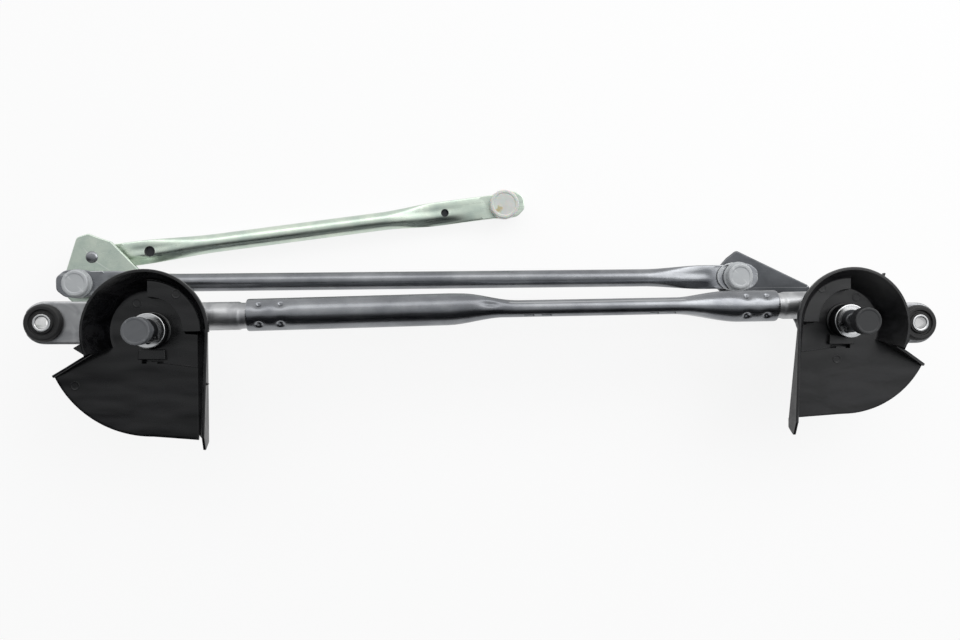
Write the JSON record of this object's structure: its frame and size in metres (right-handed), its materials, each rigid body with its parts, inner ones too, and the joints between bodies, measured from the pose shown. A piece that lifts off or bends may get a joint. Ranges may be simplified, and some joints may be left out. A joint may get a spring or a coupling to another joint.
{
  "type": "wiper linkage",
  "caption": "Windscreen wiper linkage: crimped frame tube between two pivot housings with rain shields, cranks joined by a link rod, and a ball-jointed motor rod.",
  "frame": {"origin": "midway between the two mounting holes, level with the frame tube's axis", "axes": "+X from the left mounting hole to the right one, +Z along the spindles towards the transport caps"},
  "size_m": [0.6972, 0.2016, 0.1135],
  "materials": {
    "zinc_steel": "zinc plated",
    "green_zinc_steel": "passivated zinc with a green tint",
    "bright_steel": "bright turned",
    "dark_steel": "phosphated spring steel",
    "cast_aluminium": "die cast, satin",
    "bronze": "sintered",
    "black_rubber": "moulded, matt",
    "cap_plastic": "moulded, fine grain",
    "shield_plastic": "moulded, slight sheen",
    "grey_plastic": "moulded acetal",
    "milky_plastic": "moulded natural acetal"
  },
  "bodies": {
    "frame": {"frame_tube": "zinc_steel", "left_pivot_housing": "cast_aluminium", "right_pivot_housing": "cast_aluminium", "left_grommet": "black_rubber", "right_grommet": "black_rubber", "left_sleeve": "bright_steel", "right_sleeve": "bright_steel", "left_upper_bush": "bronze", "right_upper_bush": "bronze", "left_lower_bush": "bronze", "right_lower_bush": "bronze", "left_seal_ring": "black_rubber", "right_seal_ring": "black_rubber", "left_rain_shield": "shield_plastic", "right_rain_shield": "shield_plastic"},
    "left_crank": {"left_spindle": "bright_steel", "left_thrust_washer": "bright_steel", "left_retaining_clip": "dark_steel", "left_spacer_washer": "bright_steel", "left_crank_plate": "green_zinc_steel", "left_link_stud": "bright_steel", "motor_stud": "bright_steel"},
    "right_crank": {"right_spindle": "bright_steel", "right_thrust_washer": "bright_steel", "right_retaining_clip": "dark_steel", "right_spacer_washer": "bright_steel", "right_crank_plate": "zinc_steel", "right_link_stud": "bright_steel"},
    "link": {"link_rod": "zinc_steel", "left_link_socket": "grey_plastic", "right_link_socket": "grey_plastic"},
    "motor_link": {"motor_rod": "green_zinc_steel", "crank_motor_socket": "grey_plastic", "free_motor_socket": "milky_plastic"},
    "left_cap": {"left_transport_cap": "cap_plastic"},
    "right_cap": {"right_transport_cap": "cap_plastic"}
  },
  "joints": [
    {"name": "left_spindle_turn", "type": "hinge", "parent": "frame", "child": "left_crank", "pos_m": [-0.253, -0.0055, 0], "axis": [0, 0, 1], "range_deg": [-86, 4]},
    {"name": "right_spindle_turn", "type": "hinge", "parent": "frame", "child": "right_crank", "pos_m": [0.27, 0.0015, 0], "axis": [0, 0, 1], "range_deg": [-86, 4]},
    {"name": "link_rod_turn", "type": "hinge", "parent": "left_crank", "child": "link", "pos_m": [-0.322, 0.0305, -0.028], "axis": [0, 0, 1], "range_deg": [-4, 86]},
    {"name": "motor_rod_swing", "type": "hinge", "parent": "left_crank", "child": "motor_link", "pos_m": [-0.3165, 0.052, -0.052], "axis": [0, 0, 1], "range_deg": [-30, 110]},
    {"name": "left_cap_pull", "type": "slide", "parent": "left_crank", "child": "left_cap", "axis": [0, 0, 1], "range_m": [0, 0.03]},
    {"name": "right_cap_pull", "type": "slide", "parent": "right_crank", "child": "right_cap", "axis": [0, 0, 1], "range_m": [0, 0.03]}
  ],
  "couplings": [
    {"joint": "right_spindle_turn", "follows": "left_spindle_turn", "ratio": 1},
    {"joint": "link_rod_turn", "follows": "left_spindle_turn", "ratio": -1}
  ]
}
